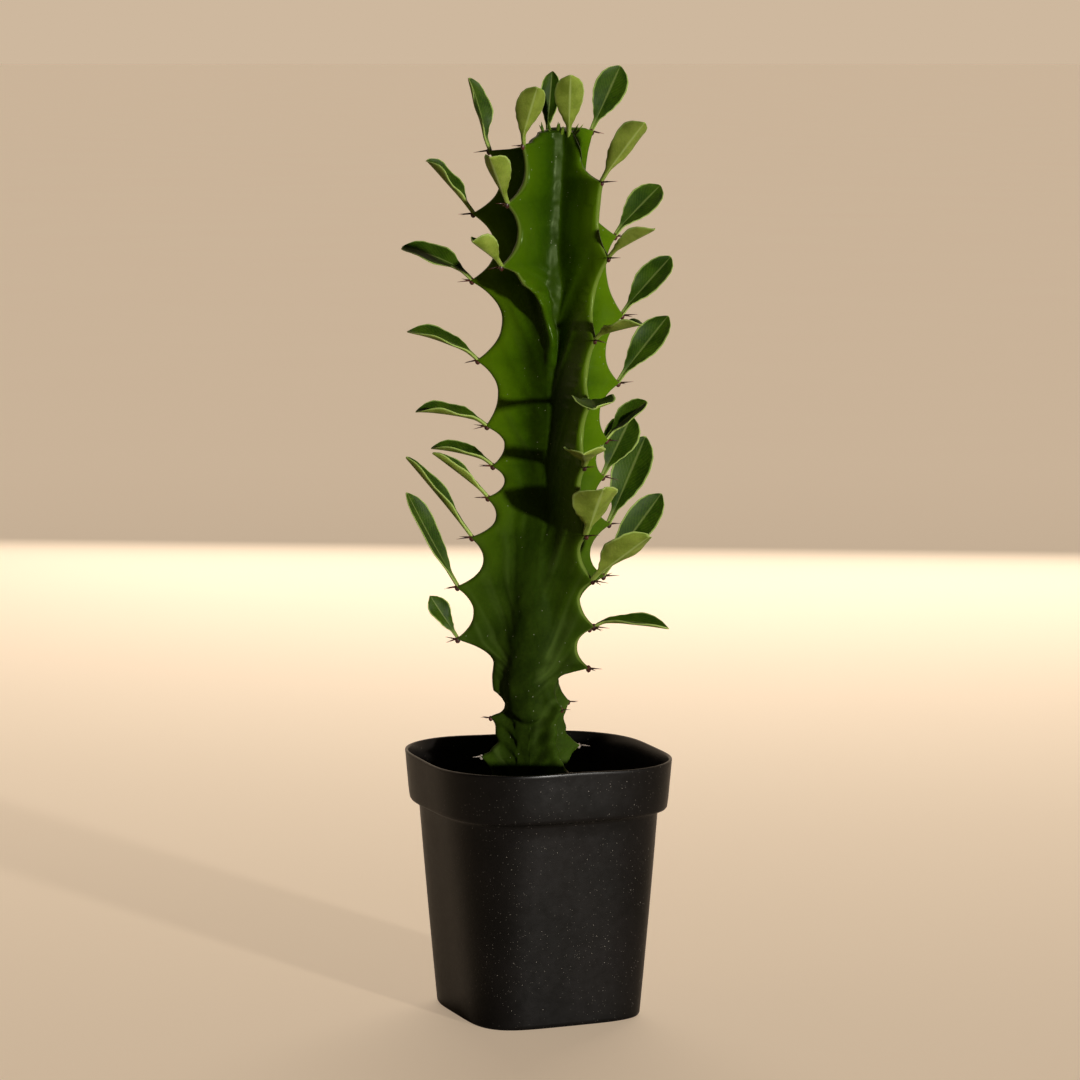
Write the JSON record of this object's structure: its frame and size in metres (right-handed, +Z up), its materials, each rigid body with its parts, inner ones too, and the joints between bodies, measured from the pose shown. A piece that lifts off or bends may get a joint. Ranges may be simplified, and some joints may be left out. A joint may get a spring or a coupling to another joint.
{
  "type": "potted euphorbia",
  "caption": "Upright ribbed succulent with leafy, thorny rib edges, planted in a square black nursery pot with a deep rim band.",
  "frame": {"origin": "centre of the pot's flat underside, on the surface that it stands on", "axes": "+Z up along the stem; X and Y square to the pot's four sides; the pictured side faces between -X and -Y"},
  "size_m": [0.1061, 0.104, 0.3716],
  "materials": {
    "pot": "near-black thin moulded plastic with a dull sheen and fine pale dust",
    "soil": "dark crumbly potting mix with bark bits, matt",
    "stem": "waxy green succulent skin, darker in the hollows and paler along the rib crests, with dark red-brown thorns",
    "leaf": "fleshy green leaf, satin, greyer below, with a pale yellow-green rim and midrib"
  },
  "bodies": {
    "root": {"pot": "pot", "soil": "soil", "stem": "stem", "leaf_left_1": "leaf", "leaf_left_2": "leaf", "leaf_left_3": "leaf", "leaf_left_4": "leaf", "leaf_left_5": "leaf", "leaf_left_6": "leaf", "leaf_left_7": "leaf", "leaf_left_8": "leaf", "leaf_left_9": "leaf", "leaf_left_10": "leaf", "leaf_frontLeft_1": "leaf", "leaf_frontLeft_2": "leaf", "leaf_frontLeft_3": "leaf", "leaf_frontRight_1": "leaf", "leaf_frontRight_2": "leaf", "leaf_frontRight_3": "leaf", "leaf_frontRight_4": "leaf", "leaf_frontRight_5": "leaf", "leaf_frontRight_6": "leaf", "leaf_frontRight_7": "leaf", "leaf_frontRight_8": "leaf", "leaf_right_1": "leaf", "leaf_right_2": "leaf", "leaf_right_3": "leaf", "leaf_right_4": "leaf", "leaf_right_5": "leaf", "leaf_right_6": "leaf", "leaf_right_7": "leaf", "leaf_right_8": "leaf", "leaf_tip_1": "leaf", "leaf_tip_2": "leaf"}
  },
  "joints": []
}
